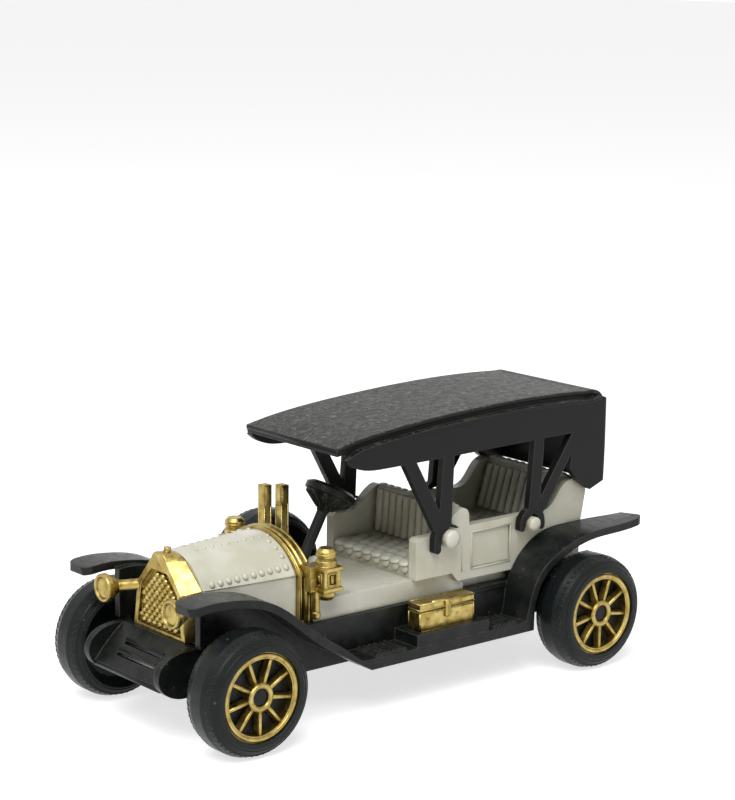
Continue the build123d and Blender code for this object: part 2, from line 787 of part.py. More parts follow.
def radiator():
    """The plated radiator shell with its studded grille, and the headlamps on their brackets."""
    front_x = front_axle_x + radiator_front_from_axle
    back_x = front_axle_x + bonnet_front_from_axle
    front = across_plane(front_x) * shell_section(
        radiator_foot_half_width,
        radiator_shoulder_half_width,
        radiator_shoulder_z,
        radiator_neck_half_width,
        radiator_neck_z,
        radiator_top_z,
    )
    back = across_plane(back_x) * shell_section(
        bonnet_front_half_width,
        bonnet_front_half_width,
        crease_z,
        radiator_back_neck,
        radiator_neck_z,
        bonnet_front_top_z,
    )
    pocket_foot = radiator_foot_half_width - grille_border
    pocket = across_plane(front_x - grille_recess) * outline(
        (
            (-pocket_foot, radiator_bottom_z + grille_foot_border),
            (pocket_foot, radiator_bottom_z + grille_foot_border),
            grille_shoulder,
            grille_top,
            (-grille_top[0], grille_top[1]),
            (-grille_shoulder[0], grille_shoulder[1]),
        )
    )
    shell = loft([back, front]) - extrude(pocket, amount=2 * grille_recess)
    cap_x = front_x - radiator_cap_setback
    shell += Pos(cap_x, 0, radiator_top_z + 0.1) * Cylinder(radiator_cap_radius, radiator_cap_height)
    shell += grille_studs()
    arm_start = Vector(front_x - 0.9, radiator_shoulder_half_width - 0.3, radiator_shoulder_z - 0.5)
    arm_end = Vector(front_x + 1.5, headlamp_y - 0.2, headlamp_z)
    arm_line = arm_end - arm_start
    arm = Plane(origin=arm_start + arm_line / 2, z_dir=arm_line) * Cylinder(
        headlamp_arm_radius, arm_line.length
    )
    return shell + mirrored_pair(headlamp() + arm)


def lantern():
    """The left side lantern: a square glazed body between flanges, a cap above, a bowl below."""
    x = front_axle_x + lantern_from_axle
    low = lantern_bottom_z
    high = lantern_top_z
    flange = lantern_half_width + lantern_flange
    half = lantern_half_width
    shape = block(-half, half, -half, half, low, high)
    glass_low = low + lantern_window_sill
    glass_high = high - lantern_window_sill
    window = lantern_window / 2
    cut = lantern_half_width - lantern_window_depth
    shape -= mirrored_pair(block(-window, window, cut, half + 1, glass_low, glass_high))
    shape -= block(cut, half + 1, -window, window, glass_low, glass_high)
    shape += block(-flange, flange, -flange, flange, low - lantern_flange_height, low)
    shape += block(-flange, flange, -flange, flange, high, high + lantern_flange_height)
    bowl = Rot(90, 0, 0) * revolve(outline(lantern_bowl), axis=Axis.Y)
    cap = Rot(90, 0, 0) * revolve(outline(((0, lantern_cap[0][1]),) + lantern_cap), axis=Axis.Y)
    shape += Pos(0, 0, low) * bowl
    shape += Pos(0, 0, high + lantern_flange_height) * cap
    return Pos(x, lantern_y, 0) * shape


def scuttle_trim():
    """The plated hoop over the dash, its grooved legs, and a lantern at each side."""
    front_x = front_axle_x + bonnet_rear_from_axle
    rear_x = front_axle_x + hoop_rear_from_axle
    outer = across_plane(rear_x) * arch_section(
        hoop_outer_half_width, crease_z + 0.2, hoop_top_z, sill_bottom_z
    )
    inner = across_plane(rear_x) * arch_section(
        hoop_outer_half_width - hoop_width, crease_z, hoop_top_z - hoop_width, sill_bottom_z - 1
    )
    hoop = extrude(outer - inner, amount=front_x - rear_x - press_gap)
    groove_front = front_x - hoop_groove_setback
    groove = block(
        groove_front - hoop_groove_width,
        groove_front,
        hoop_outer_half_width - hoop_groove_depth,
        hoop_outer_half_width + 1,
        sill_bottom_z + hoop_groove_foot,
        bracket_bottom_z,
    )
    hoop -= mirrored_pair(groove)
    lantern_x = front_axle_x + lantern_from_axle
    bracket_front_x = front_axle_x + bracket_front_from_axle
    bracket = block(
        lantern_x,
        bracket_front_x,
        hoop_outer_half_width - 0.5,
        lantern_y,
        bracket_bottom_z,
        bracket_bottom_z + bracket_height,
    )
    bracket += block(
        lantern_x,
        bracket_front_x,
        hoop_outer_half_width + 0.5,
        lamp_peg_y + lamp_peg_radius,
        lantern_bottom_z - lantern_flange_height,
        bracket_bottom_z + 0.1,
    )
    peg_x = front_axle_x + lamp_peg_from_axle
    peg_length = lantern_bottom_z - lamp_peg_foot_z
    peg_middle_z = lamp_peg_foot_z + peg_length / 2
    bracket += Pos(peg_x, lamp_peg_y, peg_middle_z) * Cylinder(lamp_peg_radius, peg_length)
    bracket += Pos(peg_x, lamp_peg_y, lamp_peg_foot_z + 0.5) * Cylinder(
        lamp_peg_radius + lamp_peg_bead, lamp_peg_bead_height
    )
    return hoop + mirrored_pair(lantern() + bracket)


def hook_face(peg, hook):
    """An open hook over a peg: a quarter ring each side, drawn down into rounded prongs."""
    inner, front_width, front_end, rear_width, rear_end = hook
    face = Sketch()
    for side, width, end in ((1, front_width, front_end), (-1, rear_width, rear_end)):
        outer = inner + width
        quarter = Circle(outer) & Pos(side * outer / 2, outer / 2) * Rectangle(outer, outer)
        if end > 0:
            quarter -= Pos(side * outer / 2, end / 2) * Rectangle(outer, end)
        face += quarter
        if end < 0:
            face += Pos(side * (inner + width / 2), end / 2) * Rectangle(width, -end)
            face += Pos(side * (inner + width / 2), end) * Circle(width / 2)
    return Pos(peg[0], peg[1]) * (face - Circle(inner))


def canopy():
    """The raised canopy in one moulding: top, valances, rear curtain and V struts with hooks."""
    tail = canopy_tail
    tail_inner_x = tail[0] + canopy_sheet
    corner = canopy_rear_corner
    panel = face_from(
        Spline(*canopy_top),
        Spline(*corner),
        Line(corner[-1], tail),
        Polyline(tail, (tail_inner_x, tail[1]), (tail_inner_x - 0.4, corner[-1][1] - 0.6), *canopy_under),
        Line(canopy_under[-1], canopy_top[0]),
    )
    crown = [(x, z - valance_drop) for x, z in canopy_top]
    side = face_from(
        Line((valance_front[-1]), (crown[1])),
        Spline(*crown[1:]),
        Spline(crown[-1], (corner[1][0], corner[1][1] - 0.5), corner[-1]),
        Polyline(corner[-1], tail, *valance_rear),
        Spline(*valance_front),
    )
    shape = extrude_across(panel, -strut_inner_y, strut_inner_y)
    shape += mirrored_pair(extrude_across(side, canopy_half_width - canopy_sheet, canopy_half_width))
    web = Sketch()
    for points in strut_outlines:
        web += outline(points)
    for peg, hook in zip(pegs, hooks):
        web += hook_face(peg, hook)
        web -= Pos(peg[0], peg[1]) * Circle(hook[0])
    shape += mirrored_pair(extrude_across(web, strut_inner_y, canopy_half_width))
    rear_x = corner[-1][0]
    for side in (1, -1):
        shape -= corner_waste(
            rear_x, side * canopy_half_width, strut_top_z, -1, side, canopy_corner_radius, strut_top_z
        )
    return Pos(rear_axle_x, 0, 0) * shape


def steering():
    """The steering column with its dished wheel."""
    foot = Vector(front_axle_x + steering_foot, steering_y, cabin_floor_z)
    centre = Vector(front_axle_x + steering_centre[0], steering_y, steering_centre[1])
    line = centre - foot
    length = line.length
    radius = steering_wheel_radius
    dish_radius = radius - steering_rim_width
    section = outline(
        (
            (0, 0.3),
            (column_radius, 0.3),
            (column_radius, length - 1.6),
            (steering_hub_radius, length - 0.8),
            (dish_radius, length - steering_rim),
            (radius, length - steering_rim / 2),
            (radius, length + steering_rim / 2),
            (dish_radius, length + steering_rim),
            (steering_hub_radius, length + 0.2),
            (steering_nut_radius, length + steering_nut_height),
            (0, length + steering_nut_height),
        )
    )
    turned = Rot(90, 0, 0) * revolve(section, axis=Axis.Y)
    shape = Plane(origin=foot, z_dir=line) * turned
    below = block(foot.X - 4, foot.X + 4, steering_y - 4, steering_y + 4, 0, cabin_floor_z)
    return shape - below


def side_levers():
    """Two upright plated levers by the driver, their foot, and the pin that the spare hangs on."""
    inner_y = lever_y - lever_depth / 2
    outer_y = lever_y + lever_depth / 2
    foot_rear = front_axle_x + levers[-1][0] - lever_foot_width
    foot_front = front_axle_x + levers[0][0] + lever_foot_width
    foot_top_z = board_top_z + lever_foot_height
    shape = block(foot_rear, foot_front, inner_y, outer_y, board_top_z, foot_top_z)
    for from_axle, top in levers:
        x = front_axle_x + from_axle
        for width, low, high in (
            (lever_foot_width, board_top_z, lever_shoulder_z),
            (lever_width, lever_shoulder_z - 0.1, top),
        ):
            shape += block(x - width / 2, x + width / 2, inner_y, outer_y, low, high)
    pin_radius = axle_radius - press_gap
    pin_end = -(spare_inner_y - axle_blind_y() + press_gap)
    pin_start = -lever_y
    spare_x = front_axle_x + spare_centre_from_front_axle
    pin = Pos(spare_x, -(pin_start + pin_end) / 2, spare_centre_z) * Rot(90, 0, 0) * Cylinder(
        pin_radius, pin_end - pin_start
    )
    return shape + pin


def toolbox():
    """The plated toolbox on its tray, with a lid line and a latch."""
    bottom = board_top_z + tray_height
    x = rear_axle_x + toolbox_centre_x
    box = Pos(x, toolbox_centre_y, bottom + toolbox_height / 2) * Box(
        toolbox_length, toolbox_width, toolbox_height
    )
    lid_z = bottom + toolbox_height - toolbox_lid_height
    core = Box(toolbox_length - 2 * lid_groove_depth, toolbox_width - 2 * lid_groove_depth, toolbox_height)
    groove = Pos(x, toolbox_centre_y, lid_z) * (
        Box(toolbox_length + 1, toolbox_width + 1, lid_groove) - core
    )
    latch = Pos(x, toolbox_centre_y + toolbox_width / 2, lid_z - lid_groove) * Box(
        latch_width, 2 * latch_thickness, latch_height
    )
    return box - groove + latch


parts = {
    "chassis": chassis(),
    "wings": wings(),
    "body": body(),
    "radiator": radiator(),
    "scuttle_trim": scuttle_trim(),
    "canopy": canopy(),
    "steering": steering(),
    "side_levers": side_levers(),
    "toolbox": toolbox(),
    "spare_tyre": place_spare(tyre()),
    "spare_spokes": place_spare(spoked_insert()),
}
for end, axle_x in (("front", front_axle_x), ("rear", rear_axle_x)):
    parts[end + "_axle"] = Pos(axle_x, 0, axle_z) * axle()
    for name, side in (("left", 1), ("right", -1)):
        parts[end + "_" + name + "_tyre"] = place_wheel(tyre(), axle_x, side)
        parts[end + "_" + name + "_spokes"] = place_wheel(spoked_insert(), axle_x, side)

os.makedirs("parts", exist_ok=True)
for name, shape in parts.items():
    export_step(Pos(0, 0, -set_down) * shape, "parts/" + name + ".step")
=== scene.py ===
import json
from math import atan2, cos, pi, radians, sin, tau

import bmesh
import bpy
from mathutils import Matrix, Vector


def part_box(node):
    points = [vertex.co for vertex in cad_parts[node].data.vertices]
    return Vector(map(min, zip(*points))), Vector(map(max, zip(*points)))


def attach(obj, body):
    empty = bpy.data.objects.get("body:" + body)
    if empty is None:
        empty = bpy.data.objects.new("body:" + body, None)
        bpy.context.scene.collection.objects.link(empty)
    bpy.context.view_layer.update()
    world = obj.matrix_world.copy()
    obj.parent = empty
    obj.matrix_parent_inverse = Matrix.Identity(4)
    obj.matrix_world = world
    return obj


MM = 0.001

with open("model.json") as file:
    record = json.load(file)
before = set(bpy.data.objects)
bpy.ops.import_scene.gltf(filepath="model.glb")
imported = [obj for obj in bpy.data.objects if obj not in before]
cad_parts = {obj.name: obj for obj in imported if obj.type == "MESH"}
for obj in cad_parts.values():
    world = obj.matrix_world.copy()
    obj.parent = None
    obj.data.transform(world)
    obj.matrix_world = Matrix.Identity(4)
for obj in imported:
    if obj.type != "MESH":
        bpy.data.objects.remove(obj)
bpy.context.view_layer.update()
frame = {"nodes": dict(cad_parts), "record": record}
bpy.context.view_layer.update()

# Sizes are in millimetres in the frame of the part: +X forward, +Y left, +Z up from the ground.

# Camera, solved from the wheels and the outline in the photograph
CAMERA_PLACE = (182.2, 218.75, 93.51)
CAMERA_TARGET = (-0.1, 0.0, 36.68)
CAMERA_ROLL = 0.70
CAMERA_LENS = 102.57
SENSOR_WIDTH = 36.0

# Light: the level of the world on the object, the lamps, and the glow of the floor to the camera
WORLD_LEVEL = 0.24
FLOOR_COLOR = (0.80, 0.80, 0.80)
FLOOR_GLOW = 0.68
# Name, place, size and watts of each lamp
LAMPS = (("key", (300.0, 220.0, 560.0), 460.0, 4.1),)

# How far the canopy's wandering noise climbs from a crease of its grain to the next gap
GRAIN_STEP = 0.085

# Colours, in linear light
PAINT = (0.75, 0.74, 0.63)
PAINT_SHADE = (0.62, 0.60, 0.47)
# Grime for the specks, and painted shade in the paint's corners and grooves
PAINT_GRIME_AND_SHADE = (0.17, 0.15, 0.10)
PLASTIC = (0.007, 0.009, 0.008)
PLASTIC_SCUFF = (0.022, 0.023, 0.020)
# Pale edges: partly wear, partly a painted highlight
PLASTIC_EDGE_WEAR_AND_HIGHLIGHT = (0.070, 0.070, 0.062)
PLASTIC_DUST = (0.16, 0.16, 0.14)
CANOPY = (0.009, 0.010, 0.009)
# Pale of the grain's lines, a painted sheen
CANOPY_GRAIN_SHEEN = (0.125, 0.122, 0.10)
GOLD = (0.37, 0.27, 0.070)
# Pale patches of the plating, a painted highlight
GOLD_HIGHLIGHT = (0.52, 0.41, 0.155)
# Tarnish, with painted dark reflections and painted shade
GOLD_TARNISH_AND_SHADE = (0.085, 0.052, 0.014)
TYRE = (0.008, 0.010, 0.010)
# Dust in the tread, and the pale of the edges: wear and a painted highlight
TYRE_DUST_AND_EDGE_SHEEN = (0.032, 0.033, 0.030)
STEEL = (0.46, 0.45, 0.43)
STEEL_DARK = (0.20, 0.19, 0.18)

# Wheels: Y is measured outward from a tyre's inner face
TYRE_WIDTH = 5.9
TREAD_RIBS = 54
# Radius and Y at each end of a tread rib, the slant between them in degrees, and its thickness
TREAD_RIB = ((7.14, 0.82), (7.31, 1.35))
TREAD_RIB_SLANT = 3.0
TREAD_RIB_RADIUS = 0.13
# Radius, Y and thickness of each lip on a sidewall
SIDEWALL_LIPS = ((6.42, 0.24, 0.13), (6.98, 0.62, 0.1))
SIDEWALL_STEPS = 56
# Radius, Y, thickness and steps of the beads on an insert's rim and hub
INSERT_BEADS = ((5.08, 5.47, 0.31, 56), (1.44, 5.47, 0.29, 28))
SPOKES = 9
# Inner and outer radius, Y and thickness of a spoke's bead
SPOKE_BEAD = (1.6, 4.9, 5.27, 0.25)

# Bonnet rivets: first and last place of a row, how many, and their radius and height
SIDE_ROW = ((28.5, 0, 18.5), (18.0, 0, 19.1), 10, 0.4, 0.32)
SIDE_ROW_STRETCH = 1.2
CROWN_ROW = ((27.6, 1.25, 0), (17.3, 1.95, 0), 10, 0.27, 0.16)
# X and Y of the rivets along the rear edge, then their radius, height and stretch
REAR_RIVETS = ((18.0, 3.1), (17.9, 4.3), (17.8, 5.5))
REAR_RIVET = (0.34, 0.22, 1.15)
CREASE = ((29.9, 5.92, 18.02), (17.1, 7.4, 18.02))
CREASE_BEAD = 0.09

# Scuttle hoop, seen from the front: half width, then the levels of its foot, shoulder and top
HOOP_HALF_WIDTH = 7.95
HOOP_FOOT_Z = 12.1
HOOP_SHOULDER_Z = 18.2
HOOP_TOP_Z = 22.55
HOOP_STEPS = 24
# X, radius and how far each bead's centre is sunk below the hoop's surface
HOOP_BEADS = ((16.72, 0.2, 0.04), (15.93, 0.46, 0.22), (15.12, 0.2, 0.04))
# Place, radius and height of the knob on each shoulder
HOOP_KNOB = ((15.3, 7.35, 19.0), 0.5, 0.4)

# Side lanterns: centre, half width, and the levels between the flanges
LANTERN_X = 13.95
LANTERN_Y = 9.4
LANTERN_HALF = 1.25
LANTERN_LOW = 16.7
LANTERN_HIGH = 18.8
WINDOW_HALF = 0.65
WINDOW_SILL = 0.3
WINDOW_BEAD = 0.14
# How far the burner stands behind a window and clear of its sill, and its radius
BURNER = (0.2, 0.3, 0.3)
# Level and radius of the rings round a lantern, then their thickness
LANTERN_RINGS = ((LANTERN_LOW - 0.45, 1.28), (LANTERN_HIGH + 0.5, 1.2), (LANTERN_HIGH + 1.95, 1.18))
LANTERN_RING_BEAD = 0.16

# Radiator grille: half width and level of the pocket's foot, shoulder and top
GRILLE = ((4.59, 12.25), (3.75, 17.3), (1.7, 19.5))
STUD_X = 31.78
STUD_FIRST_Z = 12.85
STUD_PITCH = 1.1
STUD_RADIUS = 0.46
STUD_HEIGHT = 0.55

# Headlamps: centre of the face, radius and thickness of its rim, radii and depths of its dome
HEADLAMP = (35.5, 7.2, 16.4)
HEADLAMP_RIM = (1.56, 0.2)
HEADLAMP_FACE = ((1.4, -0.5), (1.35, -0.08), (1.1, 0.0), (0.5, 0.04), (0, 0.05))

# Body sides: the door panel's rear and front X, foot and top Z, and the door's front edge
BODY_SIDE_Y = 9.0
BEAD_SINK = 0.02
DOOR = (-17.15, -10.35, 14.7, 19.6)
DOOR_BEAD = 0.13
DOOR_EDGE_X = -8.7
DOOR_EDGE_Z = (14.6, 20.3)
DOOR_EDGE_BEAD = 0.12

# Pegs: X, Z and radius, the Y of their ends, and the shares of the radius and heights of a tip
PEGS = ((-5.65, 19.7, 1.2), (-20.05, 19.45, 0.95))
PEG_END_Y = 10.7
PEG_TIP = ((1, -0.4), (1, -0.05), (0.85, 0.16), (0.5, 0.3), (0, 0.35))

# Seats: each cushion's front and rear X and top level, then X and Z of the top of its back
CUSHIONS = (((-1.45, -6.6, 16.62), (-8.95, 22.85)), ((-20.6, -25.0, 17.0), (-28.9, 24.0)))
SEAT_HALF_WIDTH = 7.4
TUFT_ROWS = 4
TUFTS_IN_ROW = 8
# How far a row's end tufts stand in from the side, and how much further in every second row
TUFT_INSET = 0.9
TUFT_SHIFT = 0.85
# Radius, height and sink of a tuft on top, then how much its crown leans forward
TUFT = (1.02, 0.4, 0.1)
TUFT_LEAN = 0.15
TUFT_RAY_START = 2.5
# A tuft on the cushion's front: how far ahead of its edge and below its top, radius and height
FRONT_TUFT = (0.35, 0.75, 0.85, 0.3)
# The roll along a back's top: overhang, thickness, steps, and the height and pitch of its waves
BACK_ROLL = (0.2, 0.42, 67, 0.08, 1.35)

# Toolbox: centre X and Y, half length, half width, foot, top and lid line
TOOLBOX = (-3.5, 11.05, 4.55, 1.15, 8.8, 12.6, 11.6)
# Side panels: inset, distance from the foot and from the lid line, and thickness of their edges
TOOLBOX_PANEL = (0.1, 0.2, 0.25, 0.1)
# Level and thickness of the lip under the lid and of its top edge
TOOLBOX_LIPS = ((11.76, 0.1), (12.52, 0.13))
# Clasp and hasp, from the toolbox's centre X, its front and its top
CLASP_LOW = (-0.1, -0.2, -2.2)
CLASP_HIGH = (0.5, 0.34, 0.05)
CLASP_ROUNDING = 0.16
HASP = ((0.4, -0.12, 0.02), (2.5, -0.12, 0.02))
HASP_RADIUS = 0.2

# Steering wheel: foot and top of its column, the wheel's radius and the thickness of its rim
COLUMN_FOOT = (8.25, -3.6, 14.7)
COLUMN_TOP = (2.95, -3.6, 24.3)
STEERING_RADIUS = 3.4
STEERING_RIM = 0.42
STEERING_SPOKES = 10
STEERING_SPOKE_BEAD = 0.22
# Radius and level at both ends of a spoke's bead under the wheel, then of the one on top
STEERING_SPOKE_LINES = (((1.0, -2.15), (3.0, -0.75)), ((0.7, 0.42), (2.7, 0.42)))
# Radius and level of the dish under the wheel and of the nut on top
STEERING_DISH = ((0.6, -3.0), (0.95, -2.3), (1.5, -1.7), (2.3, -1.2), (3.0, -0.8), (3.2, -0.4))
STEERING_NUT = ((0.75, 0.5), (0.72, 0.82), (0.4, 0.95), (0, 1.0))

# Levers: X and top Z of each, then their span in Y, width, and the levels of foot and shoulder
LEVERS = ((8.85, 25.05), (6.05, 24.65))
LEVER_SPAN_Y = (-10.4, -9.1)
LEVER_WIDTH = 1.2
LEVER_FOOT_Z = 9.0
LEVER_SHOULDER_Z = 22.1
# How far a grip stands out at its sides and its top, and its rounding
GRIP_SIDE = 0.03
GRIP_TOP = 0.06
GRIP_ROUNDING = 0.28
# How far a lever's corner beads are sunk in X and in Y, and their thickness
LEVER_BEAD = (0.1, 0.05, 0.13)

# Canopy: X of its rear and front, and the bead along its front edge
CANOPY_REAR_X = -32.4
CANOPY_FRONT_X = 12.1
CANOPY_STEPS = 34
CANOPY_FRONT_HALF = 9.0
CANOPY_FRONT_BEAD = 0.34
# Front X and Y of the top sheet's edge and the valance's, how low and how thick each bead is
CANOPY_EDGES = ((12.1, 9.03, 0.31, 0.3), (11.2, 9.92, 0.24, 0.25))

# Apron: X, Z, half length and thickness of its rolled lip and of its two ribs
APRON_RIBS = ((36.78, 7.25, 6.85, 0.3), (35.25, 9.45, 3.9, 0.17), (34.2, 10.55, 3.9, 0.17))
# Front and rear X, Y, Z and thickness of the ledge along each wall
WALL_LEDGE = (-8.7, -16.6, 9.0, 11.4, 0.16)

# Where rays that look for the model's surface start, from its middle or from the ground
RAY_START = 60.0

# Studio: the camera's clipping and half the floor's length, in metres
CLIP_START = 0.01
CLIP_END = 20.0
FLOOR_HALF = 3.0


# Materials


class Finish:
    """A material and short ways of adding what its surface needs."""

    def __init__(self, name):
        self.material = bpy.data.materials.new(name)
        self.material.use_nodes = True
        self.tree = self.material.node_tree
        self.shader = self.tree.nodes["Principled BSDF"]
        self.place = self.node("ShaderNodeTexCoord").outputs["Object"]

    def node(self, kind, **settings):
        made = self.tree.nodes.new(kind)
        for name, value in settings.items():
            setattr(made, name, value)
        return made

    def link(self, source, target):
        self.tree.links.new(source, target)

    def set(self, **values):
        """Set the shader's own sockets; an underscore stands for a space."""
        for name, value in values.items():
            self.shader.inputs[name.replace("_", " ")].default_value = value

    def noise(self, size, detail=3.0, stretch=(1.0, 1.0, 1.0), distortion=0.0):
        """Noise with blotches about that many millimetres across, longer where stretch is more."""
        scaled = self.node("ShaderNodeMapping")
        scaled.inputs["Scale"].default_value = [1.0 / (size * MM * part) for part in stretch]
        self.link(self.place, scaled.inputs["Vector"])
        noise = self.node("ShaderNodeTexNoise")
        noise.inputs["Scale"].default_value = 1.0
        noise.inputs["Detail"].default_value = detail
        noise.inputs["Distortion"].default_value = distortion
        self.link(scaled.outputs["Vector"], noise.inputs["Vector"])
        return noise.outputs[0]

    def spread(self, value, start, end, low=0.0, high=1.0):
        """Map the range from start to end onto low to high."""
        ranged = self.node("ShaderNodeMapRange")
        for name, number in (("From Min", start), ("From Max", end), ("To Min", low), ("To Max", high)):
            ranged.inputs[name].default_value = number
        self.link(value, ranged.inputs["Value"])
        return ranged.outputs["Result"]

    def varied(self, size, low, high, detail=3.0):
        """A value that wanders from low to high, in blotches of a size."""
        return self.spread(self.noise(size, detail), 0.35, 0.65, low, high)

    def math(self, operation, first, second):
        """Arithmetic on two values, each a number or another node's result."""
        made = self.node("ShaderNodeMath", operation=operation)
        for number, value in enumerate((first, second)):
            if isinstance(value, float):
                made.inputs[number].default_value = value
            else:
                self.link(value, made.inputs[number])
        return made.outputs["Value"]

    def mix(self, factor, first, second):
        """Mix two colours, each a tuple or another mix."""
        made = self.node("ShaderNodeMix", data_type="RGBA")
        self.link(factor, made.inputs[0])
        for number, value in ((6, first), (7, second)):
            if isinstance(value, tuple):
                made.inputs[number].default_value = (*value, 1.0)
            else:
                self.link(value, made.inputs[number])
        return made.outputs[2]

    def crevices(self, distance):
        """1 in corners and grooves, 0 on open surfaces."""
        near = self.node("ShaderNodeAmbientOcclusion", samples=6)
        near.inputs["Distance"].default_value = distance * MM
        return self.spread(near.outputs["AO"], 0.85, 0.25)

    def rounded(self, radius):
        """The surface's normal with its edges rounded over."""
        bevel = self.node("ShaderNodeBevel", samples=6)
        bevel.inputs["Radius"].default_value = radius * MM
        return bevel.outputs["Normal"]

    def edges(self, normal):
        """1 along edges, where the rounded normal leaves the true one."""
        true = self.node("ShaderNodeNewGeometry").outputs["Normal"]
        dot = self.node("ShaderNodeVectorMath", operation="DOT_PRODUCT")
        self.link(normal, dot.inputs[0])
        self.link(true, dot.inputs[1])
        return self.spread(dot.outputs["Value"], 0.995, 0.87)

    def bump(self, height, distance, strength, normal=None):
        """A bumped normal; distance is how many millimetres the height stands for."""
        made = self.node("ShaderNodeBump")
        made.inputs["Distance"].default_value = distance * MM
        made.inputs["Strength"].default_value = strength
        self.link(height, made.inputs["Height"])
        if normal:
            self.link(normal, made.inputs["Normal"])
        return made.outputs["Normal"]

    def use(self, color, roughness, normal):
        self.link(color, self.shader.inputs["Base Color"])
        self.link(roughness, self.shader.inputs["Roughness"])
        self.link(normal, self.shader.inputs["Normal"])


def cast_paint():
    """Thick cream enamel over a casting: orange peel, grime with painted shade in the corners, a few
    specks.
    """
    made = Finish("cast_paint")
    made.set(Specular_IOR_Level=0.4, Coat_Weight=0.25, Coat_Roughness=0.14)
    color = made.mix(made.spread(made.noise(6.0), 0.4, 0.65), PAINT, PAINT_SHADE)
    specks = made.spread(made.noise(0.55, detail=1.0), 0.76, 0.82, 0.0, 0.55)
    color = made.mix(specks, color, PAINT_GRIME_AND_SHADE)
    # Painted shade with some grime: corners and grooves are darkened where shade falls
    grime_and_crevice_shade = made.math("MULTIPLY", made.crevices(1.1), made.spread(made.noise(1.6), 0.3, 0.6, 0.35, 0.9))
    color = made.mix(grime_and_crevice_shade, color, PAINT_GRIME_AND_SHADE)
    normal = made.bump(made.noise(2.6, detail=1.0), 0.05, 0.35, made.rounded(0.22))
    normal = made.bump(made.noise(0.5, detail=2.0), 0.012, 0.4, normal)
    made.use(color, made.varied(3.0, 0.24, 0.40), normal)
    return made.material


def black_plastic():
    """Satin moulded plastic with a fine grain, pale along its edges from wear and a painted highlight,
    with specks of dust.
    """
    made = Finish("black_plastic")
    made.set(Specular_IOR_Level=0.2)
    normal = made.rounded(0.2)
    color = made.mix(made.spread(made.noise(2.2, detail=4.0), 0.45, 0.75), PLASTIC, PLASTIC_SCUFF)
    # Edges painted pale: partly worn, partly a painted highlight where rounded edges catch the light
    rubbed_and_lit_edges = made.math("MULTIPLY", made.edges(normal), made.spread(made.noise(1.1), 0.3, 0.6, 0.25, 0.9))
    color = made.mix(rubbed_and_lit_edges, color, PLASTIC_EDGE_WEAR_AND_HIGHLIGHT)
    scratches = made.spread(made.noise(1.0, stretch=(4.0, 0.35, 0.8), detail=5.0), 0.62, 0.75, 0.0, 0.5)
    color = made.mix(scratches, color, PLASTIC_SCUFF)
    dust = made.spread(made.noise(0.5, detail=1.0), 0.74, 0.8, 0.0, 0.6)
    color = made.mix(dust, color, PLASTIC_DUST)
    normal = made.bump(made.noise(0.3, detail=2.0), 0.02, 0.45, normal)
    made.use(color, made.varied(0.9, 0.26, 0.38, detail=4.0), normal)
    return made.material


def canopy_plastic():
    """Plastic moulded as leather cloth on top: wandering creases between raised grain, the grain's lines
    painted pale as a sheen on upward faces, and a painted highlight with some wear along the edges.
    """
    made = Finish("canopy_plastic")
    made.set(Specular_IOR_Level=0.16)
    facing = made.node("ShaderNodeSeparateXYZ")
    made.link(made.node("ShaderNodeNewGeometry").outputs["Normal"], facing.inputs[0])
    top = made.spread(facing.outputs["Z"], 0.6, 0.9)
    wander = made.noise(2.4, detail=2.0, stretch=(1.3, 0.9, 1.0), distortion=1.2)
    creases = made.spread(made.math("PINGPONG", wander, GRAIN_STEP), 0.5 * GRAIN_STEP, GRAIN_STEP)
    broken = made.spread(made.noise(0.9, detail=2.0), 0.38, 0.58, 0.25, 1.0)
    grain = made.math("MULTIPLY", made.math("MULTIPLY", creases, broken), top)
    edge_normal = made.rounded(0.25)
    # Painted sheen: the grain's lines on upward faces are painted pale, as they catch light from above
    color = made.mix(grain, CANOPY, CANOPY_GRAIN_SHEEN)
    # Painted highlight along the edges, with some wear
    color = made.mix(made.math("MULTIPLY", made.edges(edge_normal), 0.75), color, PLASTIC_EDGE_WEAR_AND_HIGHLIGHT)
    normal = made.bump(grain, 0.12, 0.9, edge_normal)
    normal = made.bump(made.noise(0.35, detail=2.0), 0.02, 0.4, normal)
    made.use(color, made.varied(0.9, 0.30, 0.44), normal)
    return made.material


def gold_plate():
    """Bright plating on plastic: small dents and ripples, painted highlights and dark reflections in
    patches, and tarnish with painted shade in corners.
    """
    made = Finish("gold_plate")
    made.set(Metallic=1.0)
    # Painted highlights: pale patches stand in for bright reflections
    color = made.mix(made.spread(made.noise(1.7, detail=4.0), 0.38, 0.66), GOLD, GOLD_HIGHLIGHT)
    # Dark patches: tarnish and painted dark reflections
    dull = made.spread(made.noise(0.8, detail=5.0), 0.52, 0.72, 0.0, 0.55)
    color = made.mix(dull, color, GOLD_TARNISH_AND_SHADE)
    # Painted shade in corners and grooves, with some tarnish
    corner_tarnish_and_shade = made.math("MULTIPLY", made.crevices(0.8), 0.5)
    color = made.mix(corner_tarnish_and_shade, color, GOLD_TARNISH_AND_SHADE)
    normal = made.bump(made.noise(1.3, detail=2.0), 0.08, 0.5, made.rounded(0.22))
    normal = made.bump(made.noise(0.3, detail=2.0), 0.01, 0.5, normal)
    made.use(color, made.varied(1.0, 0.26, 0.42, detail=4.0), normal)
    return made.material


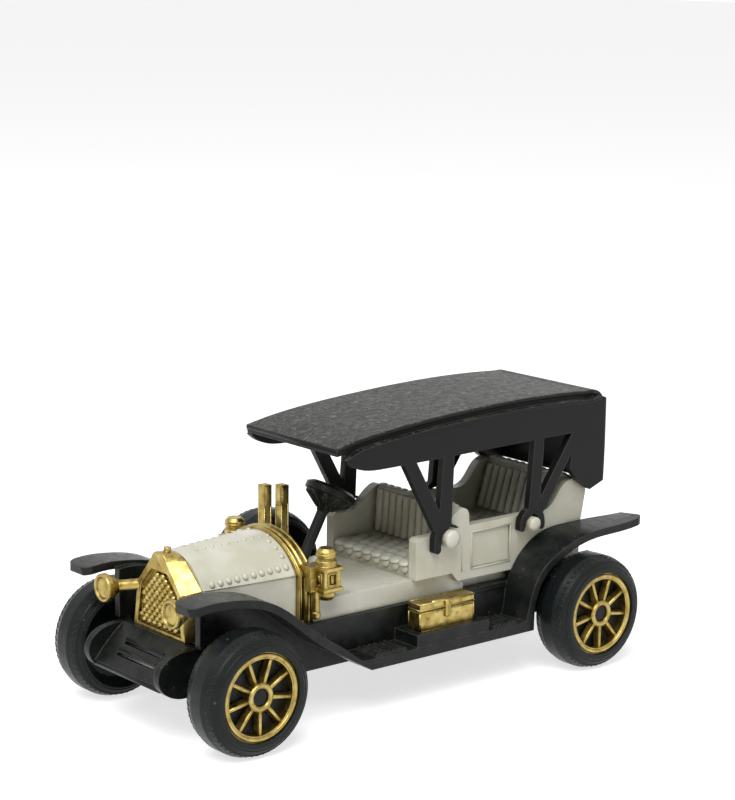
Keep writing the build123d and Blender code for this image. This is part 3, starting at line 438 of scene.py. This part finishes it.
def tyre_black():
    """Black moulded rubber look, dusty in the tread, specked on its walls, with its edges worn and
    painted pale as a highlight.
    """
    made = Finish("tyre_black")
    made.set(Specular_IOR_Level=0.2)
    normal = made.rounded(0.25)
    dusty = made.math("MULTIPLY", made.crevices(0.7), made.spread(made.noise(0.9), 0.35, 0.6))
    color = made.mix(dusty, TYRE, TYRE_DUST_AND_EDGE_SHEEN)
    # Edges painted pale: partly wear, partly a painted highlight
    rubbed_and_lit_edges = made.math("MULTIPLY", made.edges(normal), made.spread(made.noise(1.3), 0.35, 0.6, 0.2, 0.8))
    color = made.mix(rubbed_and_lit_edges, color, TYRE_DUST_AND_EDGE_SHEEN)
    dust = made.spread(made.noise(0.45, detail=1.0), 0.73, 0.79, 0.0, 0.6)
    color = made.mix(dust, color, PLASTIC_DUST)
    normal = made.bump(made.noise(0.4, detail=3.0), 0.03, 0.5, normal)
    made.use(color, made.varied(0.9, 0.26, 0.4, detail=4.0), normal)
    return made.material


def axle_steel():
    """Drawn steel pin with fine rings and a dull film."""
    made = Finish("axle_steel")
    made.set(Metallic=1.0)
    rings = made.noise(0.5, detail=3.0, stretch=(6.0, 0.4, 6.0))
    color = made.mix(made.spread(rings, 0.4, 0.65), STEEL, STEEL_DARK)
    normal = made.bump(rings, 0.01, 0.4, made.rounded(0.1))
    made.use(color, made.varied(1.5, 0.28, 0.45), normal)
    return made.material


finishes = {
    "cast_paint": cast_paint(),
    "black_plastic": black_plastic(),
    "canopy_plastic": canopy_plastic(),
    "gold_plate": gold_plate(),
    "tyre_black": tyre_black(),
    "axle_steel": axle_steel(),
}
for row in frame["record"]["subparts"]:
    for slot in frame["nodes"][row["node"]].material_slots:
        slot.material = finishes[row["material_slot"]]


# Mesh helpers, in millimetres


def add_piece(name, bm, slot, body="car"):
    """Turn a mesh drawn in millimetres into a smooth piece that rides on a body."""
    bmesh.ops.recalc_face_normals(bm, faces=bm.faces)
    bmesh.ops.scale(bm, vec=(MM, MM, MM), verts=bm.verts)
    mesh = bpy.data.meshes.new(name)
    bm.to_mesh(mesh)
    bm.free()
    mesh.polygons.foreach_set("use_smooth", [True] * len(mesh.polygons))
    mesh.materials.append(finishes[slot])
    piece = bpy.data.objects.new(name, mesh)
    bpy.context.collection.objects.link(piece)
    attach(piece, body)
    return piece


def join_rings(bm, low, high):
    """Faces between two rings of as many points, either of which may be a single point."""
    count = max(len(low), len(high))
    for step in range(count):
        after = (step + 1) % count
        below = [low[step % len(low)], low[after % len(low)]]
        above = [high[after % len(high)], high[step % len(high)]]
        bm.faces.new(list(dict.fromkeys(below + above)))


def ring_of(bm, centre, across, up, radius, sides):
    """A ring of points about a centre, in the plane of two directions."""
    ring = []
    for step in range(sides):
        angle = tau * step / sides
        ring.append(bm.verts.new(centre + radius * (cos(angle) * across + sin(angle) * up)))
    return ring


def tube(bm, points, radius, closed=False, sides=8):
    """A round bead along a line of points, with its open ends domed over."""
    points = [Vector(point) for point in points]
    last = len(points) - 1
    across = None
    rings = []
    for number, point in enumerate(points):
        before = points[number - 1] if closed or number else point
        after = points[(number + 1) % (last + 1)] if closed or number < last else point
        along = (after - before).normalized()
        across = across - along * across.dot(along) if across else along.orthogonal()
        across.normalize()
        rings.append(ring_of(bm, point, across, along.cross(across), radius, sides))
    for low, high in zip(rings, rings[1:]):
        join_rings(bm, low, high)
    if closed:
        join_rings(bm, rings[-1], rings[0])
        return
    for ring, end, inner in ((rings[0], points[0], points[1]), (rings[-1], points[-1], points[-2])):
        tip = end + (end - inner).normalized() * radius * 0.6
        join_rings(bm, ring, [bm.verts.new(tip)])


def lathe(bm, profile, centre, axis, sides=32):
    """Turn a profile of (radius, height along the axis) about an axis through a centre."""
    centre = Vector(centre)
    axis = Vector(axis).normalized()
    across = axis.orthogonal().normalized()
    up = axis.cross(across)
    rings = []
    for radius, height in profile:
        middle = centre + height * axis
        if radius == 0:
            rings.append([bm.verts.new(middle)])
        else:
            rings.append(ring_of(bm, middle, across, up, radius, sides))
    for low, high in zip(rings, rings[1:]):
        join_rings(bm, low, high)


def circle(centre, axis, radius, sides):
    """Points round a circle."""
    axis = Vector(axis).normalized()
    across = axis.orthogonal().normalized()
    up = axis.cross(across)
    turns = [tau * step / sides for step in range(sides)]
    return [Vector(centre) + radius * (cos(turn) * across + sin(turn) * up) for turn in turns]


def dome(bm, centre, normal, radius, height, along=None, stretch=1.0, rings=3, sides=10):
    """A rounded bump that stands on a surface, longer by stretch in one direction."""
    centre = Vector(centre)
    normal = Vector(normal).normalized()
    across = Vector(along) if along else normal.orthogonal()
    across = (across - normal * across.dot(normal)).normalized()
    up = normal.cross(across)
    levels = [(radius, -0.35 * height)]
    for number in range(rings):
        angle = pi / 2 * number / rings
        levels.append((radius * cos(angle), height * sin(angle)))
    longer = across * stretch
    made = [ring_of(bm, centre + level * normal, longer, up, size, sides) for size, level in levels]
    made.append([bm.verts.new(centre + height * normal)])
    for low, high in zip(made, made[1:]):
        join_rings(bm, low, high)


def rounded_bar(bm, low, high, rounding):
    """A bar between two corners with its edges rounded over."""
    low = Vector(low)
    high = Vector(high)
    size = high - low
    turn = Matrix.Translation((low + high) / 2) @ Matrix.Diagonal((*size, 1.0))
    made = bmesh.ops.create_cube(bm, size=1.0, matrix=turn)
    edges = list({edge for vertex in made["verts"] for edge in vertex.link_edges})
    bmesh.ops.bevel(bm, geom=edges, offset=rounding, segments=3, profile=0.5, affect="EDGES")


def between(first, last, count):
    """Points at even steps from the first to the last."""
    first = Vector(first)
    last = Vector(last)
    return [first.lerp(last, number / (count - 1)) for number in range(count)]


def meet(node, start, toward):
    """Where a ray first meets a CAD node, and the surface's normal there."""
    start = Vector(start) * MM
    hit, place, normal, _ = frame["nodes"][node].ray_cast(start, Vector(toward).normalized())
    if not hit:
        raise RuntimeError("a ray misses " + node)
    return place / MM, normal


# Pieces


def wheel_centre(node, side):
    """Where a wheel's axis meets its tyre's inner face, to a hundredth of a millimetre."""
    low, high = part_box(node)
    middle = (low + high) / (2 * MM)
    outer_y = max(side * low.y, side * high.y) / MM
    return Vector((round(middle.x, 2), side * round(outer_y - TYRE_WIDTH, 2), round(middle.z, 2)))


def wheel_trim(name, side, body):
    """Tread ribs and sidewall lips on a tyre, and rounded beads on its plated insert."""
    centre = wheel_centre(name + "_tyre", side)

    def on_wheel(radius, y, angle):
        return centre + Vector((radius * sin(angle), side * y, radius * cos(angle)))

    bm = bmesh.new()
    for near in (True, False):
        for number in range(TREAD_RIBS):
            angle = tau * number / TREAD_RIBS
            slant = radians(TREAD_RIB_SLANT)
            ends = []
            for (radius, y), turn in zip(TREAD_RIB, (angle - slant / 2, angle + slant / 2)):
                ends.append(on_wheel(radius, y if near else TYRE_WIDTH - y, turn))
            tube(bm, ends, TREAD_RIB_RADIUS, sides=6)
        for radius, y, bead in SIDEWALL_LIPS:
            level = y if near else TYRE_WIDTH - y
            middle = centre + Vector((0, side * level, 0))
            tube(bm, circle(middle, (0, 1, 0), radius, SIDEWALL_STEPS), bead, closed=True, sides=6)
    add_piece(name + "_tread", bm, "tyre_black", body)

    bm = bmesh.new()
    for radius, y, bead, steps in INSERT_BEADS:
        middle = centre + Vector((0, side * y, 0))
        tube(bm, circle(middle, (0, 1, 0), radius, steps), bead, closed=True)
    inner, outer, y, bead = SPOKE_BEAD
    for number in range(SPOKES):
        angle = pi + tau * number / SPOKES
        tube(bm, [on_wheel(inner, y, angle), on_wheel(outer, y, angle)], bead)
    add_piece(name + "_rim_beads", bm, "gold_plate", body)


def wheels():
    for end in ("front", "rear"):
        for name, side in (("left", 1), ("right", -1)):
            wheel_trim(end + "_" + name, side, end + "_wheelset")
    wheel_trim("spare", -1, "car")


def bonnet_trim():
    """Rivet rows along the bonnet's sides, crown and rear edge, and a bead on each crease."""
    bm = bmesh.new()
    for side in (1, -1):
        first, last, count, radius, height = SIDE_ROW
        for spot in between(first, last, count):
            place, normal = meet("body", (spot.x, side * RAY_START, spot.z), (0, -side, 0))
            dome(bm, place, normal, radius, height, along=(0, 0, 1), stretch=SIDE_ROW_STRETCH)
        first, last, count, radius, height = CROWN_ROW
        for spot in between(first, last, count):
            place, normal = meet("body", (spot.x, side * spot.y, RAY_START), (0, 0, -1))
            dome(bm, place, normal, radius, height)
        radius, height, stretch = REAR_RIVET
        for x, y in REAR_RIVETS:
            place, normal = meet("body", (x, side * y, RAY_START), (0, 0, -1))
            dome(bm, place, normal, radius, height, along=(0, 0, 1), stretch=stretch)
        tube(bm, [(x, side * y, z) for x, y, z in CREASE], CREASE_BEAD, sides=6)
    add_piece("bonnet_rivets", bm, "cast_paint")


def hoop_line(x, sunk):
    """Points on the scuttle hoop's outer face from foot to foot, sunk a little into it."""
    rise = HOOP_TOP_Z - HOOP_SHOULDER_Z
    radius = (HOOP_HALF_WIDTH**2 + rise**2) / (2 * rise)
    centre_z = HOOP_TOP_Z - radius
    spread = atan2(HOOP_HALF_WIDTH, HOOP_SHOULDER_Z - centre_z)
    points = [(x, sunk - HOOP_HALF_WIDTH, HOOP_FOOT_Z)]
    for number in range(HOOP_STEPS + 1):
        angle = spread * (2 * number / HOOP_STEPS - 1)
        reach = radius - sunk
        points.append((x, reach * sin(angle), centre_z + reach * cos(angle)))
    points.append((x, HOOP_HALF_WIDTH - sunk, HOOP_FOOT_Z))
    return points


def scuttle_trim():
    """Beads round the hoop, with a small knob at each shoulder, and the lanterns' frames."""
    bm = bmesh.new()
    for x, radius, sunk in HOOP_BEADS:
        tube(bm, hoop_line(x, sunk), radius)
    (x, y, z), radius, height = HOOP_KNOB
    for side in (1, -1):
        dome(bm, (x, side * y, z), (0, side, 1), radius, height)
    add_piece("hoop_beads", bm, "gold_plate")

    bm = bmesh.new()
    low = LANTERN_LOW + WINDOW_SILL
    high = LANTERN_HIGH - WINDOW_SILL
    setback, clear, burner_radius = BURNER
    for side in (1, -1):
        centre = Vector((LANTERN_X, side * LANTERN_Y, 0))
        for facing in ((1, 0), (0, 1), (0, -1)):
            out = Vector((*facing, 0))
            across = Vector((-facing[1], facing[0], 0))
            corners = []
            for step, z in ((-1, low), (1, low), (1, high), (-1, high)):
                face = centre + out * LANTERN_HALF + across * step * WINDOW_HALF
                corners.append(face + Vector((0, 0, z)))
            for start, end in zip(corners, corners[1:] + corners[:1]):
                tube(bm, [start, end], WINDOW_BEAD, sides=6)
            burner = centre + out * (LANTERN_HALF - setback)
            ends = [burner + Vector((0, 0, low + clear)), burner + Vector((0, 0, high - clear))]
            tube(bm, ends, burner_radius)
        for z, radius in LANTERN_RINGS:
            ring = circle(centre + Vector((0, 0, z)), (0, 0, 1), radius, 28)
            tube(bm, ring, LANTERN_RING_BEAD, closed=True, sides=6)
    add_piece("lantern_frames", bm, "gold_plate")


def grille_half_width(z):
    """Half the width of the grille's pocket at a level, where it has one."""
    for low, high in zip(GRILLE, GRILLE[1:]):
        if low[1] <= z <= high[1]:
            share = (z - low[1]) / (high[1] - low[1])
            return low[0] + share * (high[0] - low[0])
    return 0


def radiator_trim():
    """Rounded studs on the grille, and the rims and domed faces of the headlamps."""
    bm = bmesh.new()
    z = STUD_FIRST_Z
    row = 0
    while grille_half_width(z + STUD_RADIUS) > 0:
        shift = (row % 2) * STUD_PITCH / 2
        reach = grille_half_width(z + STUD_RADIUS) - STUD_RADIUS
        for number in range(int((reach - shift) // STUD_PITCH) + 1):
            y = shift + number * STUD_PITCH
            for side in sorted({y, -y}):
                dome(bm, (STUD_X, side, z), (1, 0, 0), STUD_RADIUS, STUD_HEIGHT, sides=8)
        row += 1
        z += STUD_PITCH / 2
    add_piece("grille_studs", bm, "gold_plate")

    bm = bmesh.new()
    x, y, z = HEADLAMP
    radius, bead = HEADLAMP_RIM
    for side in (1, -1):
        centre = (x, side * y, z)
        tube(bm, circle(centre, (1, 0, 0), radius, 32), bead, closed=True)
        lathe(bm, HEADLAMP_FACE, centre, (1, 0, 0))
    add_piece("headlamp_faces", bm, "gold_plate")


def rectangle(low, high, y):
    """Corners of an upright rectangle at one Y."""
    return [(low[0], y, low[1]), (high[0], y, low[1]), (high[0], y, high[1]), (low[0], y, high[1])]


def body_trim():
    """Door panel beads, the door's front edge, and the pegs' rounded ends."""
    bm = bmesh.new()
    rear, front, low, high = DOOR
    for side in (1, -1):
        y = side * (BODY_SIDE_Y - BEAD_SINK)
        corners = rectangle((rear, low), (front, high), y)
        for start, end in zip(corners, corners[1:] + corners[:1]):
            tube(bm, [start, end], DOOR_BEAD, sides=6)
        tube(bm, [(DOOR_EDGE_X, y, z) for z in DOOR_EDGE_Z], DOOR_EDGE_BEAD, sides=6)
        for x, z, radius in PEGS:
            profile = [(share * radius, height) for share, height in PEG_TIP]
            lathe(bm, profile, (x, side * PEG_END_Y, z), (0, side, 0), sides=24)
    add_piece("door_and_peg_mouldings", bm, "cast_paint")


def seats():
    """Buttoned tufts on both cushions, with a rolled edge along the top of each back."""
    bm = bmesh.new()
    radius, height, sink = TUFT
    ahead, drop, front_radius, front_height = FRONT_TUFT
    overhang, roll_radius, roll_steps, wave_height, wave_pitch = BACK_ROLL
    for (front_x, rear_x, top_z), (back_x, back_z) in CUSHIONS:
        for row in range(TUFT_ROWS):
            x = front_x + row / (TUFT_ROWS - 1) * (rear_x - front_x)
            reach = SEAT_HALF_WIDTH - TUFT_INSET - (row % 2) * TUFT_SHIFT
            for place in between((x, -reach, 0), (x, reach, 0), TUFTS_IN_ROW - row % 2):
                start = (place.x, place.y, top_z + TUFT_RAY_START)
                z = meet("body", start, (0, 0, -1))[0].z - sink
                dome(bm, (place.x, place.y, z), (TUFT_LEAN, 0, 1), radius, height, rings=4, sides=12)
        x = front_x + ahead
        reach = SEAT_HALF_WIDTH - TUFT_INSET
        for place in between((x, -reach, 0), (x, reach, 0), TUFTS_IN_ROW):
            dome(bm, (x, place.y, top_z - drop), (1, 0, 0), front_radius, front_height, along=(0, 1, 0))
        width = SEAT_HALF_WIDTH + overhang
        roll = []
        for place in between((0, -width, 0), (0, width, 0), roll_steps):
            wave = wave_height * cos(place.y * tau / wave_pitch)
            roll.append((back_x, place.y, back_z + wave))
        tube(bm, roll, roll_radius)
    add_piece("seat_tufts", bm, "cast_paint")


def toolbox_trim():
    """Raised edges round the toolbox's sides, the lid's lip, its clasp and its hasp."""
    x, y, half_length, half_width, foot_z, top_z, lid_z = TOOLBOX
    inset, above_foot, below_lid, bead = TOOLBOX_PANEL
    low = foot_z + above_foot
    high = lid_z - below_lid
    reach = half_length - inset
    bm = bmesh.new()
    for side in (1, -1):
        corners = rectangle((x - reach, low), (x + reach, high), y + side * half_width)
        for start, end in zip(corners, corners[1:] + corners[:1]):
            tube(bm, [start, end], bead, sides=6)
        for step in (1, -1):
            edge = (x + side * half_length, y + step * (half_width - inset))
            tube(bm, [(*edge, low), (*edge, high)], bead, sides=6)
    for z, radius in TOOLBOX_LIPS:
        loop = []
        for corner_x, corner_y in ((1, 1), (-1, 1), (-1, -1), (1, -1)):
            loop.append((x + corner_x * half_length, y + corner_y * half_width, z))
        for start, end in zip(loop, loop[1:] + loop[:1]):
            tube(bm, [start, end], radius, sides=6)
    front_top = Vector((x, y + half_width, top_z))
    rounded_bar(bm, front_top + Vector(CLASP_LOW), front_top + Vector(CLASP_HIGH), CLASP_ROUNDING)
    tube(bm, [front_top + Vector(end) for end in HASP], HASP_RADIUS)
    add_piece("toolbox_edges", bm, "gold_plate")


def steering_trim():
    """A round rim, and raised spokes on both faces of the dished steering wheel."""
    foot = Vector(COLUMN_FOOT)
    top = Vector(COLUMN_TOP)
    axis = (top - foot).normalized()
    across = axis.orthogonal().normalized()
    up = axis.cross(across)
    bm = bmesh.new()
    tube(bm, circle(top, axis, STEERING_RADIUS - STEERING_RIM, 40), STEERING_RIM, closed=True)
    for number in range(STEERING_SPOKES):
        angle = tau * number / STEERING_SPOKES
        out = cos(angle) * across + sin(angle) * up
        for line in STEERING_SPOKE_LINES:
            ends = [top + radius * out + level * axis for radius, level in line]
            tube(bm, ends, STEERING_SPOKE_BEAD, sides=6)
    lathe(bm, STEERING_DISH, top, axis)
    lathe(bm, STEERING_NUT, top, axis, sides=20)
    add_piece("steering_relief", bm, "black_plastic")


def lever_trim():
    """Rounded grips over the levers' upper ends, and beads down their edges."""
    inner_y, outer_y = LEVER_SPAN_Y
    half = LEVER_WIDTH / 2
    grip_half = half + GRIP_SIDE
    sunk_x, sunk_y, bead = LEVER_BEAD
    bm = bmesh.new()
    for x, top_z in LEVERS:
        low = (x - grip_half, inner_y - GRIP_SIDE, LEVER_SHOULDER_Z)
        high = (x + grip_half, outer_y + GRIP_SIDE, top_z + GRIP_TOP)
        rounded_bar(bm, low, high, GRIP_ROUNDING)
        for step in (1, -1):
            for y in (inner_y + sunk_y, outer_y - sunk_y):
                edge = (x + step * (half - sunk_x), y)
                tube(bm, [(*edge, LEVER_FOOT_Z), (*edge, LEVER_SHOULDER_Z)], bead, sides=6)
    add_piece("lever_grips", bm, "gold_plate")


def canopy_trim():
    """Rolled edges along the canopy's top sheet, the valances' upper edges and the front."""
    bm = bmesh.new()
    for side in (1, -1):
        for front_x, y, drop, radius in CANOPY_EDGES:
            line = []
            for place in between((CANOPY_REAR_X, 0, 0), (front_x, 0, 0), CANOPY_STEPS):
                surface = meet("canopy", (place.x, side * y, RAY_START), (0, 0, -1))[0]
                line.append((place.x, side * y, surface.z - drop))
            tube(bm, line, radius)
    surface = meet("canopy", (CANOPY_FRONT_X, 0, RAY_START), (0, 0, -1))[0]
    z = surface.z - CANOPY_FRONT_BEAD
    ends = [(CANOPY_FRONT_X, side * CANOPY_FRONT_HALF, z) for side in (-1, 1)]
    tube(bm, ends, CANOPY_FRONT_BEAD)
    add_piece("canopy_piping", bm, "canopy_plastic")


def chassis_trim():
    """Ribs and a rolled lip on the front apron, and a ledge along each wall by the rear fender."""
    bm = bmesh.new()
    for x, z, half, radius in APRON_RIBS:
        tube(bm, [(x, -half, z), (x, half, z)], radius)
    front_x, rear_x, y, z, radius = WALL_LEDGE
    for side in (1, -1):
        tube(bm, [(front_x, side * y, z), (rear_x, side * y, z)], radius, sides=6)
    add_piece("apron_ribs", bm, "black_plastic")


wheels()
bonnet_trim()
scuttle_trim()
radiator_trim()
body_trim()
seats()
toolbox_trim()
steering_trim()
lever_trim()
canopy_trim()
chassis_trim()


# Studio


def add_camera():
    """The camera, at the photograph's viewing angle."""
    data = bpy.data.cameras.new("camera")
    data.lens = CAMERA_LENS
    data.sensor_width = SENSOR_WIDTH
    data.clip_start = CLIP_START
    data.clip_end = CLIP_END
    camera = bpy.data.objects.new("camera", data)
    bpy.context.collection.objects.link(camera)
    place = Vector(CAMERA_PLACE) * MM
    forward = (Vector(CAMERA_TARGET) * MM - place).normalized()
    level_right = forward.cross(Vector((0, 0, 1))).normalized()
    level_up = level_right.cross(forward)
    roll = radians(CAMERA_ROLL)
    right = cos(roll) * level_right + sin(roll) * level_up
    up = right.cross(forward)
    turn = Matrix((right, up, -forward)).transposed().to_4x4()
    camera.matrix_world = Matrix.Translation(place) @ turn
    bpy.context.scene.camera = camera


def add_lamp(name, place, size, watts):
    """A square softbox that faces the object, its place and size in millimetres."""
    data = bpy.data.lights.new(name, "AREA")
    data.size = size * MM
    data.energy = watts
    lamp = bpy.data.objects.new(name, data)
    lamp.location = Vector(place) * MM
    lamp.rotation_euler = (-Vector(place)).to_track_quat("-Z", "Y").to_euler()
    bpy.context.collection.objects.link(lamp)


def seen_rays(tree):
    """1 for rays from the camera and for reflected and transmitted ones, 0 for diffuse light."""
    path = tree.nodes.new("ShaderNodeLightPath")
    seen = path.outputs["Is Camera Ray"]
    for name in ("Is Glossy Ray", "Is Transmission Ray"):
        most = tree.nodes.new("ShaderNodeMath")
        most.operation = "MAXIMUM"
        tree.links.new(seen, most.inputs[0])
        tree.links.new(path.outputs[name], most.inputs[1])
        seen = most.outputs["Value"]
    return seen


def seen_level(tree, otherwise, level):
    """A strength for the rays that see, and another for the rest."""
    ranged = tree.nodes.new("ShaderNodeMapRange")
    ranged.inputs["To Min"].default_value = otherwise
    ranged.inputs["To Max"].default_value = level
    tree.links.new(seen_rays(tree), ranged.inputs["Value"])
    return ranged.outputs["Result"]


def add_world():
    """A plain white surround that lights the object at a lower level than it shows."""
    world = bpy.data.worlds.new("studio")
    world.use_nodes = True
    tree = world.node_tree
    background = tree.nodes["Background"]
    background.inputs["Color"].default_value = (1, 1, 1, 1)
    tree.links.new(seen_level(tree, WORLD_LEVEL, 1.0), background.inputs["Strength"])
    bpy.context.scene.world = world


def add_floor():
    """A pale floor that shows white and keeps the object's shadow."""
    material = bpy.data.materials.new("floor")
    material.use_nodes = True
    tree = material.node_tree
    shader = tree.nodes["Principled BSDF"]
    shader.inputs["Base Color"].default_value = (*FLOOR_COLOR, 1)
    shader.inputs["Roughness"].default_value = 0.9
    shader.inputs["Specular IOR Level"].default_value = 0.1
    shader.inputs["Emission Color"].default_value = (1, 1, 1, 1)
    tree.links.new(seen_level(tree, 0.0, FLOOR_GLOW), shader.inputs["Emission Strength"])
    mesh = bpy.data.meshes.new("floor")
    corners = [(x * FLOOR_HALF, y * FLOOR_HALF, 0) for x, y in ((-1, -1), (1, -1), (1, 1), (-1, 1))]
    mesh.from_pydata(corners, [], [(0, 1, 2, 3)])
    mesh.materials.append(material)
    floor = bpy.data.objects.new("floor", mesh)
    bpy.context.collection.objects.link(floor)


add_world()
add_floor()
for lamp in LAMPS:
    add_lamp(*lamp)
add_camera()
bpy.context.scene.view_settings.view_transform = "Standard"
